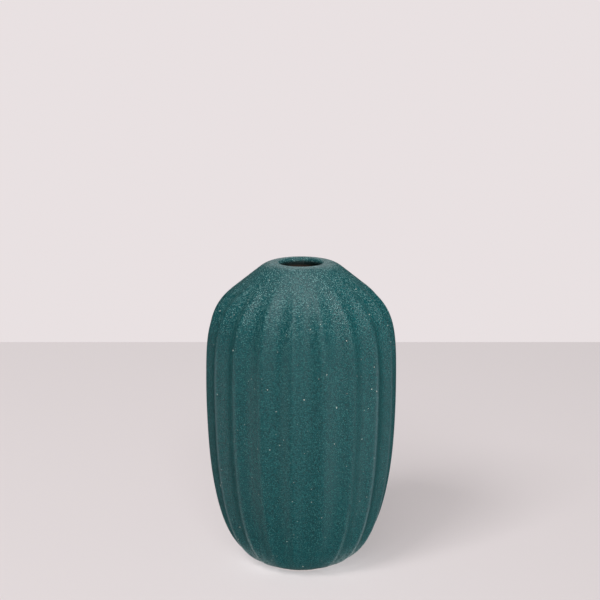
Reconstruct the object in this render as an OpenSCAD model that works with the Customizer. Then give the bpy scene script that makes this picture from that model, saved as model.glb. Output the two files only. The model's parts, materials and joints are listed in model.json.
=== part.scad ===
// Fluted ceramic bud vase: a cast clay shell, a thick coloured glaze outside and a thin liner glaze inside.
// Millimetres. +Z is up, the origin is the centre of the foot's resting plane and the front is towards -Y.

/* [Body] */
// Height from the resting plane to the top of the lip
vase_h = 130; // [125:1:140]
// Greatest diameter, measured over the flute ridges
body_d = 80; // [76:1:86]
// Height of the greatest diameter
belly_z = 80; // [76:1:84]
// Diameter of the foot
foot_d = 27; // [24:1:32]
// Lean of the wall from the vertical where it leaves the foot
foot_lean = 64; // [58:1:68]
// Lean of the straight cone of the shoulder from the vertical
shoulder_lean = 51.6; // [50:0.2:53]
// Thickness of the fired clay wall
wall = 3.6; // [3:0.1:4.5]
// Thickness of the clay floor
floor_t = 5; // [4:0.5:7]

/* [Flutes] */
// Number of flutes around the body
flutes = 19; // [16:1:22]
// Depth of a flute below its ridges, at the belly
flute_depth = 1.7; // [0.6:0.1:1.8]
// Share by which the flutes bite deeper into the shoulder than into the belly
shoulder_bite = 0.45; // [0:0.05:0.5]
// Turn of one ridge from the front, towards +X
ridge_turn = 13.6; // [0:0.1:20]
// Height at which the flutes have run out into the smooth collar
collar_z = 126; // [124:0.5:127]
// Height over which the flutes run out below the collar
run_out = 15; // [10:1:20]
// Height over which the flutes deepen above the smooth foot
run_in = 9; // [6:1:12]

/* [Mouth] */
// Diameter of the glazed opening
mouth_d = 17.2; // [15:0.1:18]
// Radius of the lip's crest
crest_r = 10.1; // [9.8:0.1:10.3]
// Length of the straight neck below the lip's inner rounding
neck_len = 5; // [4.5:0.5:7]

/* [Glaze] */
// Thickness of the outer glaze
glaze_t = 0.4; // [0.3:0.1:0.5]
// Thickness of the liner glaze
liner_t = 0.2; // [0.1:0.1:0.3]
// Length of the straight neck that the outer glaze covers
glaze_run = 3; // [2.5:0.5:4]

/* [Foot] */
// Width of the bare ring that the vase stands on
foot_ring = 4; // [3:0.5:5]
// Depth of the hollow inside the foot ring
foot_hollow = 1.5; // [1:0.5:2]

/* [Hidden] */
$fn = 96;

belly_r = body_d / 2;
foot_r = foot_d / 2;
mouth_r = mouth_d / 2;

// The lip: a small rounding inside the crest and a wide one outside it
lip_round = crest_r - mouth_r;
lip_flat = 0.4;
lip_arc_r = 10.8;
lip_arc_lean = 90 - shoulder_lean;
lip_arc_steps = 4;
neck_top_z = vase_h - lip_round;
neck_low_z = neck_top_z - neck_len;

// The shoulder cone ends where the lip's outer arc begins
cone_top = [
    crest_r + lip_flat + lip_arc_r * sin(lip_arc_lean),
    vase_h - lip_arc_r * (1 - cos(lip_arc_lean))
];
cone_len = 14;
cone_low = cone_top + cone_len * [sin(shoulder_lean), -cos(shoulder_lean)];

// Handles of the two curves that make the wall's outline
foot_pull = 9;
foot_swell_z = 3;
belly_pull = 22;
shoulder_pull = 14;

low_curve = [
    [foot_r, 0],
    [foot_r + foot_pull * sin(foot_lean), foot_pull * cos(foot_lean)],
    [belly_r, foot_swell_z],
    [belly_r, belly_z]
];
high_curve = [
    [belly_r, belly_z],
    [belly_r, belly_z + belly_pull],
    cone_low + shoulder_pull * [sin(shoulder_lean), -cos(shoulder_lean)],
    cone_low
];

// Places along the two curves where the wall has a ring of points
bare_ring = 0.02;
glaze_ring = 0.03;
low_steps = 8;
high_steps = 7;
low_places = concat([0, bare_ring, glaze_ring], [for (i = [1 : low_steps]) i / low_steps]);
high_places = [for (i = [1 : high_steps]) i / high_steps];

// Index of the ring where the outer glaze begins
glaze_start = 2;

// Height above the belly over which the flutes reach their depth in the shoulder
bite_rise = 25;

// Points around one flute, and around the whole wall
flute_steps = 4;
around = flutes * flute_steps;

// Distance by which a cutter runs past the face that it opens
past = 1;

// Point on a cubic curve, and the unit normal there, both as [radius, height]
function on_curve(c, t) =
    pow(1 - t, 3) * c[0] + 3 * t * pow(1 - t, 2) * c[1] + 3 * t * t * (1 - t) * c[2] + pow(t, 3) * c[3];
function heading(c, t) =
    pow(1 - t, 2) * (c[1] - c[0]) + 2 * t * (1 - t) * (c[2] - c[1]) + t * t * (c[3] - c[2]);
function normal_of(v) = [v[1], -v[0]] / norm(v);

// The outline as a list of [point, normal], from the foot to the edge of the lip's flat crest
outline = concat(
    [for (t = low_places) [on_curve(low_curve, t), normal_of(heading(low_curve, t))]],
    [for (t = high_places) [on_curve(high_curve, t), normal_of(heading(high_curve, t))]],
    [for (i = [0 : lip_arc_steps])
        let (lean = lip_arc_lean * (1 - i / lip_arc_steps))
        [
            [crest_r + lip_flat + lip_arc_r * sin(lean), vase_h - lip_arc_r * (1 - cos(lean))],
            [sin(lean), cos(lean)]
        ]
    ]
);
rings = len(outline);

// Depth of a flute at a height and radius, and its share at an angle: none on a ridge, all in the hollow
// The depth is nothing at the foot and at the collar
function ease(x) = let (s = min(max(x, 0), 1)) s * s * (3 - 2 * s);
function bite_at(z) = 1 + shoulder_bite * ease((z - belly_z) / bite_rise);
function depth_at(p) =
    flute_depth * bite_at(p[1]) * p[0] / belly_r * ease(p[1] / run_in) * ease((collar_z - p[1]) / run_out);
function flute_share(k) = sin(180 * (k % flute_steps) / flute_steps);

// Glaze thickness that the clay gives up on a ring: none on the bare foot
function skin_at(i) = i < glaze_start ? 0 : glaze_t;

// Heights stay put on the resting plane, where the outline has no room to move along its normal
function wall_point(i, k, inset) =
    let (
        p = outline[i][0],
        sunk = inset + depth_at(p) * flute_share(k),
        q = i == 0 ? p - [sunk, 0] : p - sunk * outline[i][1],
        turn = ridge_turn + 360 * k / around
    )
    [q[0] * sin(turn), -q[0] * cos(turn), q[1]];

// Two triangles for each cell between neighbouring rings, facing outwards or inwards
function band_faces(first, bands, outwards) = [
    for (i = [0 : bands - 1], k = [0 : around - 1])
        let (
            a = first + i * around + k,
            b = first + i * around + (k + 1) % around,
            c = b + around,
            d = a + around
        )
        each outwards ? [[a, c, b], [a, d, c]] : [[a, b, c], [a, c, d]]
];
function ring_up(first) = [for (k = [0 : around - 1]) first + k];
function ring_down(first) = [for (k = [around - 1 : -1 : 0]) first + k];

// Solid fluted blank of the clay, flat at the foot and at the crest
module clay_blank() {
    points = [for (i = [0 : rings - 1], k = [0 : around - 1]) wall_point(i, k, skin_at(i))];
    polyhedron(
        points,
        concat([ring_up(0)], band_faces(0, rings - 1, true), [ring_down((rings - 1) * around)])
    );
}

// Glaze blank: the outer wall and, one glaze thickness inside it, the wall of the clay
module glaze_blank() {
    bands = rings - 1 - glaze_start;
    inner = (bands + 1) * around;
    outer_points = [for (i = [glaze_start : rings - 1], k = [0 : around - 1]) wall_point(i, k, 0)];
    inner_points = [for (i = [glaze_start : rings - 1], k = [0 : around - 1]) wall_point(i, k, glaze_t)];
    lower_edge = [
        for (k = [0 : around - 1])
            let (n = (k + 1) % around)
            each [[k, n, inner + n], [k, inner + n, inner + k]]
    ];
    polyhedron(
        concat(outer_points, inner_points),
        concat(
            band_faces(0, bands, true),
            [ring_down(bands * around)],
            band_faces(inner, bands, false),
            [ring_up(inner + bands * around)],
            lower_edge
        )
    );
}

// The opening as a solid: a straight bore from low_z and the rounding that flares it out to the crest
module mouth_plug(skin, low_z, top_z) {
    flare_r = lip_round - skin;
    flare_steps = 6;
    flare = [
        for (i = [0 : flare_steps])
            let (turn = 90 * i / flare_steps)
            [crest_r - flare_r * cos(turn), neck_top_z + flare_r * sin(turn)]
    ];
    rotate_extrude()
        polygon(concat([[0, top_z], [0, low_z], [mouth_r + skin, low_z]], flare, [[crest_r, top_z]]));
}

// Handles of the cavity's outline, which keep it one wall's thickness inside the outer outline
floor_pull = 11.5;
side_pull = 13.5;
inner_belly_pull = 30;
neck_pull_r = 16;
neck_pull_z = 3.5;
cavity_steps = 12;

// Half outline of the cavity, moved inwards by the liner's thickness when inset is given
function cavity_outline(inset) =
    let (
        low_z = floor_t + foot_hollow + inset,
        side_r = belly_r - glaze_t - wall - inset,
        neck_r = mouth_r + glaze_t - inset,
        neck_z = neck_low_z - inset,
        bottom = [
            [foot_r, low_z],
            [foot_r + floor_pull, low_z],
            [side_r, low_z + side_pull],
            [side_r, belly_z]
        ],
        top = [
            [side_r, belly_z],
            [side_r, belly_z + inner_belly_pull],
            [neck_r + neck_pull_r, neck_z - neck_pull_z],
            [neck_r, neck_z]
        ]
    )
    concat(
        [[0, low_z]],
        [for (i = [0 : cavity_steps]) on_curve(bottom, i / cavity_steps)],
        [for (i = [1 : cavity_steps]) on_curve(top, i / cavity_steps)]
    );

module clay_body() {
    color("#c3bfb4")
    difference() {
        clay_blank();
        rotate_extrude()
            polygon(concat(cavity_outline(0), [[0, neck_low_z]]));
        mouth_plug(glaze_t, neck_low_z - past, vase_h + past);
        foot_cut();
    }
}

// Shallow hollow under the foot, with a sloping side
module foot_cut() {
    hollow_r = foot_r - foot_ring;
    slope = foot_hollow / 2;
    translate([0, 0, -past])
        cylinder(h = past + foot_hollow, r1 = hollow_r + slope, r2 = hollow_r - slope);
}

module outer_glaze() {
    bond = glaze_t / 2;
    color("#2c5658")
    difference() {
        union() {
            glaze_blank();
            mouth_plug(glaze_t, neck_top_z - glaze_run, vase_h - bond);
        }
        mouth_plug(0, neck_top_z - glaze_run - past, vase_h + past);
    }
}

module liner_glaze() {
    top_z = neck_top_z - glaze_run;
    inside = cavity_outline(liner_t);
    color("#4a3a31")
    rotate_extrude()
        polygon(concat(
            cavity_outline(0),
            [[mouth_r + glaze_t, top_z], [mouth_r + glaze_t - liner_t, top_z]],
            [for (i = [len(inside) - 1 : -1 : 0]) inside[i]]
        ));
}

clay_body();
outer_glaze();
liner_glaze();
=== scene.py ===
"""A fluted ceramic bud vase: speckled teal glaze over a cast clay body, with a dark liner glaze inside."""
import json
import math
import random

import bmesh
import bpy
from mathutils import Matrix, Vector, noise


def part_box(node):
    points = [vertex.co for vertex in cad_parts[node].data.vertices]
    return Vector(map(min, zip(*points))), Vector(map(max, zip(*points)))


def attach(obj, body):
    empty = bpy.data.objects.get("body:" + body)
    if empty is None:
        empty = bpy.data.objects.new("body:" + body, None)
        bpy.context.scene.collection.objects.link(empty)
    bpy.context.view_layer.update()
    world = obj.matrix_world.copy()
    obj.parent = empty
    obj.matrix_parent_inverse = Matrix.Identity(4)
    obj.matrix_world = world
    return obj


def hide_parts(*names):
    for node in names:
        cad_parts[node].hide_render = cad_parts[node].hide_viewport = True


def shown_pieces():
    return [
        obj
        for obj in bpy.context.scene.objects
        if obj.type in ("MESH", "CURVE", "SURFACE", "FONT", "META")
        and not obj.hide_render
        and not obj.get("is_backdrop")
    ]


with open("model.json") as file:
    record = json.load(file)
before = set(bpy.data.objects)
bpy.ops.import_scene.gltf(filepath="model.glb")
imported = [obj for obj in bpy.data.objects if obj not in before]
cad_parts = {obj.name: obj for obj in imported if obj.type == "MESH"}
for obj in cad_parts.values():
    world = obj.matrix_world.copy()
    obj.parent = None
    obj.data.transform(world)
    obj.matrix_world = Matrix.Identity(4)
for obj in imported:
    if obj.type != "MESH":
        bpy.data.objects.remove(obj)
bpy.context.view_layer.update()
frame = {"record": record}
scene = bpy.context.scene

MM = 0.001
UP = Vector((0, 0, 1))

# ---------------------------------------------------------------- sizes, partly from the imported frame

glaze_low, glaze_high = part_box("outer_glaze")
clay_low, clay_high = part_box("clay_body")
liner_low, liner_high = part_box("liner_glaze")
mounts = {mount["name"]: mount for mount in frame["record"]["mounts"]}

vase_h = glaze_high.z
belly_r = 40 * MM
belly_z = 80 * MM
mouth_r = mounts["mouth"]["dims"]["r_mm"] * MM
glaze_t = 0.4 * MM
liner_t = 0.2 * MM
wall = 3.6 * MM
floor_t = 5 * MM

foot_r = 13.5 * MM
foot_lean = math.radians(64)
foot_ring = 4 * MM
foot_hollow = 1.5 * MM
foot_pull = 9 * MM
foot_swell_z = 3 * MM
belly_pull = 22 * MM
shoulder_pull = 14 * MM

shoulder_lean = math.radians(51.6)
cone_len = 14 * MM
crest_r = 10.1 * MM
lip_round = crest_r - mouth_r
lip_flat = 0.4 * MM
lip_arc_r = 10.8 * MM
neck_top = vase_h - lip_round
neck_len = 5 * MM
glaze_run = mounts["mouth"]["dims"]["length_mm"] * MM

flutes = 19
flute_depth = 1.7 * MM
shoulder_bite = 0.45
bite_rise = 25 * MM
ridge_turn = math.radians(13.6)
collar_z = 126 * MM
run_out = 15 * MM
run_in = 9 * MM

# Handles of the cavity's outline
floor_pull = 11.5 * MM
side_pull = 13.5 * MM
inner_belly_pull = 30 * MM
neck_pull_r = 16 * MM
neck_pull_z = 3.5 * MM

# Place along the low curve where the glaze begins, and the bare clay stations below it
glaze_start = 0.03
bare_places = (0.0, 0.01, 0.02)

# Stations along the foot curve, the shoulder curve, the cone and the lip's arc
fine = (80, 50, 8, 14)
coarse = (30, 22, 3, 4)


# ---------------------------------------------------------------- the outline that the wall follows

def blend_cubic(curve, t):
    """Point on a cubic curve of four handles, as (radius, height)."""
    a, b, c, d = curve
    s = 1 - t
    return a * s**3 + b * (3 * t * s * s) + c * (3 * t * t * s) + d * t**3


def heading(curve, t):
    """Direction of a cubic curve at t."""
    a, b, c, d = curve
    s = 1 - t
    return (b - a) * s * s + (c - b) * (2 * t * s) + (d - c) * (t * t)


def outward(direction):
    """Unit normal to the right of a direction that climbs the wall."""
    return Vector((direction.y, -direction.x)).normalized()


def lean_step(angle):
    """Unit step outwards and down a slope that leans by angle from the vertical."""
    return Vector((math.sin(angle), -math.cos(angle)))


crest_edge = Vector((crest_r + lip_flat, vase_h))
arc_lean = math.pi / 2 - shoulder_lean
cone_top = crest_edge + lip_arc_r * Vector((math.sin(arc_lean), math.cos(arc_lean) - 1))
cone_low = cone_top + cone_len * lean_step(shoulder_lean)

foot_edge = Vector((foot_r, 0))
belly = Vector((belly_r, belly_z))
low_curve = (
    foot_edge,
    foot_edge + foot_pull * Vector((math.sin(foot_lean), math.cos(foot_lean))),
    Vector((belly_r, foot_swell_z)),
    belly,
)
high_curve = (
    belly,
    belly + Vector((0, belly_pull)),
    cone_low + shoulder_pull * lean_step(shoulder_lean),
    cone_low,
)


def outside_line(start, low_steps, high_steps, cone_steps, arc_steps):
    """The wall from the foot to the crest as a list of (point, outward normal)."""
    line = []
    for i in range(low_steps + 1):
        t = start + (1 - start) * i / low_steps
        line.append((blend_cubic(low_curve, t), outward(heading(low_curve, t))))
    for i in range(1, high_steps + 1):
        t = i / high_steps
        line.append((blend_cubic(high_curve, t), outward(heading(high_curve, t))))
    cone_normal = outward(cone_top - cone_low)
    for i in range(1, cone_steps + 1):
        line.append((cone_low.lerp(cone_top, i / cone_steps), cone_normal))
    for i in range(1, arc_steps + 1):
        lean = arc_lean * (1 - i / arc_steps)
        normal = Vector((math.sin(lean), math.cos(lean)))
        line.append((crest_edge + lip_arc_r * (normal - Vector((0, 1))), normal))
    return line


def lip_line(steps, neck_steps, run):
    """From the crest over the inner rounding and run down the straight neck, as (point, outward normal)."""
    centre = Vector((crest_r, neck_top))
    line = []
    for i in range(steps + 1):
        turn = math.pi / 2 * i / steps
        normal = Vector((-math.sin(turn), math.cos(turn)))
        line.append((centre + lip_round * normal, normal))
    for i in range(1, neck_steps + 1):
        line.append((Vector((mouth_r, neck_top - run * i / neck_steps)), Vector((-1, 0))))
    return line


def ease(x):
    x = min(max(x, 0), 1)
    return x * x * (3 - 2 * x)


def depth_at(point):
    """Depth of the flutes at a place on the outline: they narrow with the body, bite deeper into
    the shoulder, and run out at the smooth foot and at the collar."""
    bite = 1 + shoulder_bite * ease((point.y - belly_z) / bite_rise)
    ends = ease(point.y / run_in) * ease((collar_z - point.y) / run_out)
    return flute_depth * bite * point.x / belly_r * ends


# ---------------------------------------------------------------- turning an outline into a fluted skin

steps_per_flute = 20
around = flutes * steps_per_flute
ridge_round = 0.45
crowding = 0.2
wander_size = 0.12 * MM

# Least outward part of a normal on the outer wall, where the ridges take the painted highlight lines and the
# foot marks
outer_wall = 0.2

# Painted highlight: pale lines on the ridges at both sides. Close to the foot, a dusting together with
# painted reflection of the table, strongest at the sides
line_start, line_span = 0.6, 0.3
dust_reflection_start, dust_reflection_span = 0.3, 0.6
edge_dust_reflection, side_dust_reflection, ridge_dust_reflection = 0.55, 1.1, 1.2
line_width = 0.075
line_top = 112 * MM
line_fade = 30 * MM
dust_reflection_rise = 8 * MM
ridge_dust_reflection_rise = 20 * MM
edge_dust_reflection_rise = 2.0 * MM
# Depth below the top where the painted shade inside the neck begins, and the height it fades in over
throat_drop = 0.9 * MM
throat_fade = 1.0 * MM


def fall(x):
    """Bell curve: 1 at nothing, fading smoothly away."""
    return math.exp(-(x**2))


def hollow(share):
    """Share of a flute's depth across its width: none on the rounded ridge, all in the middle."""
    dip = math.sqrt(math.sin(math.pi * share) ** 2 + ridge_round**2)
    return (dip - ridge_round) / (math.sqrt(1 + ridge_round**2) - ridge_round)


def spin_outline(name, line, closed):
    """Spins (point, normal, depth) stations round the axis, then presses the flutes in along the normals."""
    bm = bmesh.new()
    normal_r = bm.verts.layers.float.new("normal_r")
    normal_z = bm.verts.layers.float.new("normal_z")
    depth = bm.verts.layers.float.new("depth")
    verts = []
    for point, normal, dip in line:
        v = bm.verts.new((point.x, 0, point.y))
        v[normal_r], v[normal_z], v[depth] = normal.x, normal.y, dip
        verts.append(v)
    edges = [bm.edges.new(pair) for pair in zip(verts, verts[1:])]
    if closed:
        edges.append(bm.edges.new((verts[-1], verts[0])))
    bmesh.ops.spin(
        bm, geom=verts + edges, cent=(0, 0, 0), axis=UP, dvec=(0, 0, 0),
        angle=2 * math.pi, steps=around, use_merge=True, use_normal_flip=False, use_duplicate=False,
    )
    bmesh.ops.remove_doubles(bm, verts=bm.verts, dist=0.001 * MM)
    ridge = bm.verts.layers.float.new("ridge")
    dust_and_table_reflection = bm.verts.layers.float.new("dust_and_table_reflection")
    throat = bm.verts.layers.float.new("throat")
    for v in bm.verts:
        radius = math.hypot(v.co.x, v.co.y)
        if radius < 0.01 * MM:
            continue
        place = math.atan2(v.co.y, v.co.x) / (2 * math.pi) * flutes % flutes
        share = place % 1
        crowded = share - crowding * math.sin(2 * math.pi * share) / (2 * math.pi)
        turn = ridge_turn + 2 * math.pi * (place - share + crowded) / flutes
        sunk = v[depth] * hollow(crowded)
        bend = noise.noise(Vector((math.sin(turn), math.cos(turn), v.co.z * 25)) * 2.2)
        wander = wander_size * (bend - 1) / 2
        radius -= sunk * v[normal_r] - wander * min(1, v[depth] / flute_depth * 3)
        v.co = Vector((radius * math.sin(turn), -radius * math.cos(turn), v.co.z - sunk * v[normal_z]))
        # Masks of painted light, measured from the front: ridge takes painted highlight lines on the ridge
        # crests at both sides, the foot mark is partly a dusting and partly painted reflection of the table,
        # and throat takes painted shade inside the neck
        sideways = abs(math.sin(turn))
        side = ease((sideways - line_start) / line_span)
        foot_side = ease((sideways - dust_reflection_start) / dust_reflection_span)
        crest = fall(min(share, 1 - share) / line_width) * (v[normal_r] > outer_wall)
        v[ridge] = side * crest * ease((line_top - v.co.z) / line_fade)
        side_dust_and_reflection = side_dust_reflection * fall(v.co.z / dust_reflection_rise)
        side_dust_and_reflection += ridge_dust_reflection * crest * fall(v.co.z / ridge_dust_reflection_rise)
        v[dust_and_table_reflection] = edge_dust_reflection * math.exp(-v.co.z / edge_dust_reflection_rise) + foot_side * side_dust_and_reflection
        v[throat] = ease((vase_h - throat_drop - v.co.z) / throat_fade) if radius < crest_r else 0
    bmesh.ops.recalc_face_normals(bm, faces=bm.faces)
    mesh = bpy.data.meshes.new(name)
    bm.to_mesh(mesh)
    bm.free()
    for attribute in ("normal_r", "normal_z", "depth"):
        mesh.attributes.remove(mesh.attributes[attribute])
    mesh.shade_smooth()
    piece = bpy.data.objects.new(name, mesh)
    scene.collection.objects.link(piece)
    return piece


def inset(line, skin):
    """The same line moved inwards along its normals, walked the other way."""
    return [(point - skin * normal, normal, dip) for point, normal, dip in reversed(line)]


def with_depth(line):
    return [(point, normal, depth_at(point)) for point, normal in line]


def make_glaze_coat():
    """Closed skin: up the outside, over the lip, down the neck and back along the clay."""
    outer = with_depth(outside_line(glaze_start, *fine))
    lip = [(point, normal, 0) for point, normal in lip_line(8, 4, glaze_run)]
    back = with_depth(outside_line(glaze_start, *coarse)) + [
        (point, normal, 0) for point, normal in lip_line(3, 1, glaze_run)
    ]
    return spin_outline("glaze_coat", outer + lip + inset(back, glaze_t), closed=True)


def make_clay_shell():
    """The clay under the glaze, its hollow foot and the wall of the cavity."""
    bare = [
        (blend_cubic(low_curve, t), Vector((1, 0)), depth_at(blend_cubic(low_curve, t)))
        for t in bare_places
    ]
    wall_line = inset(with_depth(outside_line(glaze_start, *coarse)), glaze_t)[::-1]
    lip = inset([(p, n, 0) for p, n in lip_line(3, 1, neck_len)], glaze_t)[::-1]
    ring_r = foot_r - foot_ring
    foot = [
        (Vector((0, foot_hollow)), Vector((0, -1)), 0),
        (Vector((ring_r - 0.75 * MM, foot_hollow)), Vector((0, -1)), 0),
        (Vector((ring_r + 0.15 * MM, 0.2 * MM)), Vector((0, -1)), 0),
        (Vector((ring_r + 0.5 * MM, 0)), Vector((0, -1)), 0),
    ]
    inside = [(p, Vector((-1, 0)), 0) for p in cavity_line(0)][::-1]
    return spin_outline("clay_shell", foot + bare + wall_line + lip + inside[1:], closed=False)


def cavity_line(skin):
    """Half outline of the cavity, from the middle of the floor up to the neck."""
    low = foot_hollow + floor_t + skin
    side = belly_r - glaze_t - wall - skin
    neck = mouth_r + glaze_t - skin
    neck_low = neck_top - neck_len - skin
    bowl = (
        Vector((foot_r, low)),
        Vector((foot_r + floor_pull, low)),
        Vector((side, low + side_pull)),
        Vector((side, belly_z)),
    )
    shoulder = (
        Vector((side, belly_z)),
        Vector((side, belly_z + inner_belly_pull)),
        Vector((neck + neck_pull_r, neck_low - neck_pull_z)),
        Vector((neck, neck_low)),
    )
    steps = 20
    line = [Vector((0, low))]
    line += [blend_cubic(bowl, i / steps) for i in range(steps + 1)]
    line += [blend_cubic(shoulder, i / steps) for i in range(1, steps + 1)]
    return line


def make_liner_coat():
    """Thin coat all over the cavity, up to the edge of the outer glaze in the neck."""
    top = neck_top - glaze_run
    outer = cavity_line(0) + [Vector((mouth_r + glaze_t, top))]
    inner = cavity_line(liner_t) + [Vector((mouth_r + glaze_t - liner_t, top))]
    line = [(p, Vector((-1, 0)), 0) for p in outer + inner[::-1]]
    return spin_outline("liner_coat", line, closed=False)


def add_grit(piece, count, seed):
    """Grains of sand caught under the glaze: small raised lumps that carry the piece's second material."""
    pick = random.Random(seed)
    bm = bmesh.new()
    bm.from_mesh(piece.data)
    lowest = 4 * MM
    steepest = 0.3 * belly_r
    skin = [
        v for v in bm.verts
        if v.normal.dot(Vector((v.co.x, v.co.y, 0))) > steepest and v.co.z > lowest
    ]
    for v in pick.sample(skin, count):
        size = pick.uniform(0.14, 0.30) * MM
        turned = v.normal.to_track_quat("Z", "Y").to_matrix().to_4x4()
        spin = Matrix.Rotation(pick.uniform(0, math.pi), 4, "Z")
        shape = Matrix.Diagonal((size * pick.uniform(1.0, 1.9), size, 0.7 * size, 1))
        lump = bmesh.ops.create_icosphere(
            bm, subdivisions=1, radius=1, matrix=Matrix.Translation(v.co) @ turned @ spin @ shape,
        )
        for face in {face for vert in lump["verts"] for face in vert.link_faces}:
            face.material_index = 1
            face.smooth = True
    bm.to_mesh(piece.data)
    bm.free()


# ---------------------------------------------------------------- materials

class Nodes:
    """Short hand for building one material's node tree."""

    def __init__(self, name):
        self.material = bpy.data.materials.new(name)
        self.material.use_nodes = True
        self.tree = self.material.node_tree
        self.shader = self.tree.nodes["Principled BSDF"]
        self.place = self.tree.nodes.new("ShaderNodeTexCoord").outputs["Object"]

    def add(self, kind, links=(), **settings):
        node = self.tree.nodes.new(kind)
        for key, value in settings.items():
            if key in node.bl_rna.properties:
                setattr(node, key, value)
            else:
                node.inputs[key.replace("_", " ")].default_value = value
        for socket, source in dict(links).items():
            self.tree.links.new(source, node.inputs[socket])
        return node

    def noise(self, scale, detail=2.0, roughness=0.5):
        return self.add(
            "ShaderNodeTexNoise", {"Vector": self.place}, Scale=scale, Detail=detail, Roughness=roughness,
        ).outputs["Fac"]

    def cells(self, scale):
        return self.add("ShaderNodeTexVoronoi", {"Vector": self.place}, Scale=scale)

    def math(self, operation, a, b=0.0, clamp=False):
        node = self.add("ShaderNodeMath", operation=operation, use_clamp=clamp)
        for socket, value in zip(node.inputs, (a, b)):
            if isinstance(value, (int, float)):
                socket.default_value = value
            else:
                self.tree.links.new(value, socket)
        return node.outputs[0]

    def fit(self, value, low, high, to_low=0.0, to_high=1.0):
        node = self.add("ShaderNodeMapRange", {"Value": value})
        for socket, number in zip(node.inputs[1:5], (low, high, to_low, to_high)):
            socket.default_value = number
        return node.outputs[0]

    def mix(self, factor, a, b):
        node = self.add("ShaderNodeMix", data_type="RGBA")
        sockets = (node.inputs[0], node.inputs[6], node.inputs[7])
        for socket, value in zip(sockets, (factor, a, b)):
            if isinstance(value, (int, float, tuple)):
                socket.default_value = value
            else:
                self.tree.links.new(value, socket)
        return node.outputs[2]

    def attribute(self, name):
        return self.add("ShaderNodeAttribute", attribute_name=name).outputs["Fac"]

    def bump(self, height, distance, strength=1.0, under=None):
        links = {"Height": height}
        if under is not None:
            links["Normal"] = under
        return self.add("ShaderNodeBump", links, Distance=distance, Strength=strength).outputs["Normal"]

    def set(self, socket, value):
        if isinstance(value, (int, float, tuple)):
            self.shader.inputs[socket].default_value = value
        else:
            self.tree.links.new(value, self.shader.inputs[socket])


def teal_glaze():
    """Satin teal glaze with a skin of sand grains painted paler on the shoulder as a painted highlight,
    specks, painted highlight lines on the side ridges, a pale foot that is partly a dusting and partly
    painted reflection of the table, and a neck with painted shade near its top, where it thins to brown
    lower down."""
    n = Nodes("teal_glaze")
    grain = n.noise(1900, 1.5, 0.6)
    sand_cells = n.cells(2500)
    sand_pick = n.add("ShaderNodeSeparateColor", {"Color": sand_cells.outputs["Color"]}).outputs[0]
    sand = n.math("MULTIPLY", n.fit(sand_cells.outputs["Distance"], 0.50, 0.15), n.fit(sand_pick, 0.35, 1.0))
    cloud = n.noise(55, 2.0)
    ridge = n.attribute("ridge")

    deep = (0.0015, 0.044, 0.050, 1)
    middle = (0.0075, 0.108, 0.114, 1)
    colour = n.mix(n.fit(grain, 0.36, 0.64), deep, middle)
    colour = n.mix(n.fit(cloud, 0.3, 0.7, 0.0, 0.25), colour, (0.004, 0.062, 0.070, 1))
    height = n.add("ShaderNodeSeparateXYZ", {"Vector": n.place}).outputs["Z"]
    # Sand grains painted paler towards the shoulder: a painted highlight that stands in for the sheen there
    shoulder_sheen = n.fit(height, 100 * MM, 120 * MM)
    sand_and_sheen_colour = n.mix(shoulder_sheen, (0.085, 0.370, 0.360, 1), (0.480, 0.900, 0.880, 1))
    colour = n.mix(sand, colour, sand_and_sheen_colour)
    # Painted highlight: pale lines on the ridge crests at both sides
    colour = n.mix(n.math("MULTIPLY", ridge, 0.34), colour, (0.20, 0.30, 0.33, 1))

    # Pale foot: partly a dusting and partly painted reflection of the table, strongest at the sides
    patch = n.fit(n.noise(1300, 2.0, 0.6), 0.36, 0.62)
    dust_and_reflection_mask = n.math("MULTIPLY", n.attribute("dust_and_table_reflection"), patch, clamp=True)
    colour = n.mix(n.math("MULTIPLY", dust_and_reflection_mask, 0.80), colour, (0.46, 0.56, 0.56, 1))
    # Inside the neck: painted shade near the top, turning to brown lower down where the glaze thins
    shade_to_brown = n.fit(height, 127.4 * MM, 126.4 * MM)
    inside = n.mix(shade_to_brown, (0.006, 0.018, 0.017, 1), (0.075, 0.042, 0.026, 1))
    colour = n.mix(n.attribute("throat"), colour, inside)

    speck_cells = n.cells(700)
    chosen = n.add("ShaderNodeSeparateColor", {"Color": speck_cells.outputs["Color"]})
    dot = n.fit(speck_cells.outputs["Distance"], 0.17, 0.09)
    speck = n.math("MULTIPLY", dot, n.fit(chosen.outputs[0], 0.87, 1.08))
    speck_colour = n.mix(n.fit(chosen.outputs[1], 0.1, 0.9), (0.90, 0.88, 0.78, 1), (0.35, 0.62, 0.60, 1))
    colour = n.mix(speck, colour, speck_colour)

    n.set("Base Color", colour)
    n.set("Roughness", n.fit(grain, 0.36, 0.62, 0.44, 0.30))
    n.set("Normal", n.bump(grain, 0.30 * MM, 1.0, under=n.bump(sand, 0.20 * MM, 1.0)))
    n.set("Specular IOR Level", 0.36)
    return n.material


def pale_grit():
    """Cream grains that show through the glaze."""
    n = Nodes("pale_grit")
    grit = n.noise(400, 1.0)
    n.set("Base Color", n.mix(n.fit(grit, 0.35, 0.65), (0.30, 0.46, 0.44, 1), (0.80, 0.79, 0.70, 1)))
    n.set("Roughness", n.fit(grit, 0.3, 0.7, 0.45, 0.35))
    return n.material


def brown_liner():
    n = Nodes("brown_liner")
    colour = n.mix(n.fit(n.noise(300, 3), 0.3, 0.7), (0.040, 0.024, 0.015, 1), (0.110, 0.065, 0.040, 1))
    n.set("Base Color", colour)
    n.set("Roughness", n.fit(n.noise(600), 0.3, 0.7, 0.30, 0.45))
    n.set("Normal", n.bump(n.noise(900, 3), 0.05 * MM, 0.5))
    return n.material


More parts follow.
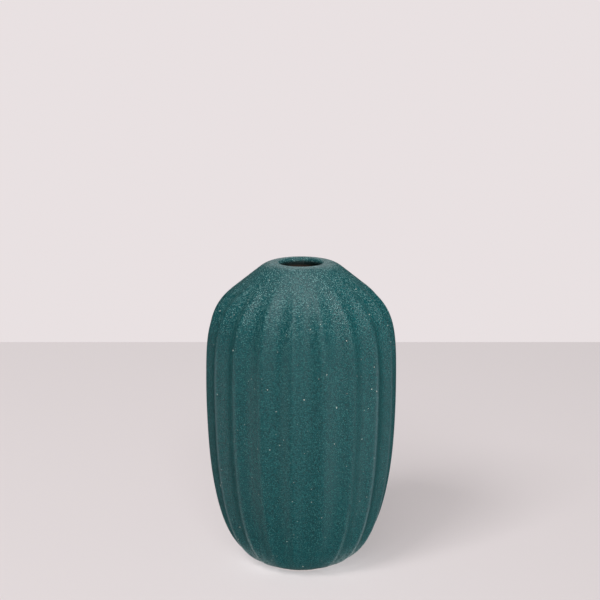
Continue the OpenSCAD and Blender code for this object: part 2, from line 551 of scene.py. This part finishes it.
def bare_clay():
    n = Nodes("bare_clay")
    grit = n.noise(2500, 4, 0.7)
    colour = n.mix(n.fit(grit, 0.3, 0.7), (0.46, 0.43, 0.38, 1), (0.66, 0.63, 0.57, 1))
    n.set("Base Color", colour)
    n.set("Roughness", n.fit(grit, 0.3, 0.7, 0.95, 0.8))
    n.set("Normal", n.bump(grit, 0.08 * MM, 0.7))
    return n.material


def matt_paint(name, colour, grain_scale):
    """Plain studio surface with a barely visible tooth."""
    n = Nodes(name)
    tooth = n.noise(grain_scale, 3)
    darker = tuple(0.985 * c for c in colour)
    n.set("Base Color", n.mix(tooth, (*colour, 1), (*darker, 1)))
    n.set("Roughness", 0.8)
    n.set("Specular IOR Level", 0.2)
    n.set("Normal", n.bump(tooth, 0.05 * MM, 0.1))
    return n.material


# ---------------------------------------------------------------- the pieces

def finish_piece(piece, material, node):
    piece.data.materials.append(material)
    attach(piece, "root")
    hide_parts(node)


glaze_coat = make_glaze_coat()
add_grit(glaze_coat, 90, 11)
finish_piece(glaze_coat, teal_glaze(), "outer_glaze")
glaze_coat.data.materials.append(pale_grit())
finish_piece(make_clay_shell(), bare_clay(), "clay_body")
finish_piece(make_liner_coat(), brown_liner(), "liner_glaze")


# ---------------------------------------------------------------- studio

table_back = 0.391


def make_table():
    """The plain table top that the vase stands on."""
    bm = bmesh.new()
    bmesh.ops.create_cube(bm, size=1)
    low, high = Vector((-3, -3, -0.03)), Vector((3, table_back, 0))
    place = Matrix.Translation((low + high) / 2) @ Matrix.Diagonal((*(high - low), 1))
    bmesh.ops.transform(bm, matrix=place, verts=bm.verts)
    mesh = bpy.data.meshes.new("table_top")
    bm.to_mesh(mesh)
    bm.free()
    table = bpy.data.objects.new("table_top", mesh)
    scene.collection.objects.link(table)
    mesh.materials.append(matt_paint("table_paint", (0.735, 0.675, 0.680), 800))
    table.visible_glossy = False
    table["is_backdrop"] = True
    return table


table_only = bpy.data.collections.new("table_only")
table_only.objects.link(make_table())
vase_only = bpy.data.collections.new("vase_only")
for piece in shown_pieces():
    vase_only.objects.link(piece)


light_distance = 2.6
aim = Vector((0, 0, 0.07))


def soft_light(name, turn, rise, size, power, lights, blocked_by=None):
    """Softbox aimed at the vase. turn is from the front towards +X and rise is above the table, in degrees.
    lights is the collection that the box reaches, and blocked_by is what throws shadows in its light."""
    a, e = math.radians(turn), math.radians(rise)
    away = Vector((math.sin(a) * math.cos(e), -math.cos(a) * math.cos(e), math.sin(e)))
    lamp = bpy.data.lights.new(name, "AREA")
    lamp.shape = "RECTANGLE"
    lamp.size, lamp.size_y = size
    lamp.energy = power
    holder = bpy.data.objects.new(name, lamp)
    holder.location = aim + away * light_distance
    holder.rotation_euler = away.to_track_quat("Z", "Y").to_euler()
    holder.visible_camera = False
    holder.light_linking.receiver_collection = lights
    holder.light_linking.blocker_collection = blocked_by
    scene.collection.objects.link(holder)


soft_light("top_box", -10, 77, (0.7, 0.7), 41, lights=vase_only)
soft_light("right_box", 30, 66, (0.8, 0.8), 8, lights=vase_only)
soft_light("back_top", 180, 66, (1.0, 1.0), 8, lights=vase_only)
soft_light("front_box", 45, 25, (0.8, 0.8), 10, lights=vase_only)
soft_light("low_fill", 8, 8, (0.8, 0.5), 16, lights=vase_only)
soft_light("wide_fill", 20, 10, (3.0, 3.0), 7, lights=vase_only)
soft_light("left_fill", -80, -18, (1.6, 1.2), 15, lights=vase_only, blocked_by=vase_only)
soft_light("right_fill", 80, -18, (1.6, 1.2), 15, lights=vase_only, blocked_by=vase_only)
soft_light("back_low", 180, 22, (1.0, 1.0), 5, lights=vase_only)
soft_light("table_key", -34, 44, (0.9, 0.9), 27, lights=table_only)
soft_light("table_front", -5, 33, (1.3, 0.6), 18, lights=table_only)
soft_light("table_wash", -150, 74, (2.5, 2.5), 52, lights=table_only, blocked_by=table_only)


def studio_air():
    """Dim even light from all round, behind a plain pale backdrop that only the lens sees."""
    world = bpy.data.worlds.new("studio_air")
    world.use_nodes = True
    tree = world.node_tree
    backdrop = tree.nodes["Background"]
    backdrop.inputs["Color"].default_value = (0.812, 0.752, 0.760, 1)
    air = tree.nodes.new("ShaderNodeBackground")
    air.inputs["Color"].default_value = (1.0, 0.97, 0.97, 1)
    air.inputs["Strength"].default_value = 0.06
    chooser = tree.nodes.new("ShaderNodeMixShader")
    seen = tree.nodes.new("ShaderNodeLightPath").outputs["Is Camera Ray"]
    tree.links.new(seen, chooser.inputs[0])
    tree.links.new(air.outputs[0], chooser.inputs[1])
    tree.links.new(backdrop.outputs[0], chooser.inputs[2])
    tree.links.new(chooser.outputs[0], tree.nodes["World Output"].inputs["Surface"])
    scene.world = world


studio_air()
scene.view_settings.view_transform = "Standard"

camera_place = (-0.0004, -0.812, 0.2947)
camera_dip = 12.56
camera_data = bpy.data.cameras.new("camera")
camera_data.lens = 120
camera_data.sensor_width = 36
camera_data.clip_end = 20
camera = bpy.data.objects.new("camera", camera_data)
camera.location = camera_place
camera.rotation_euler = (math.radians(90 - camera_dip), 0, 0)
scene.collection.objects.link(camera)
scene.camera = camera
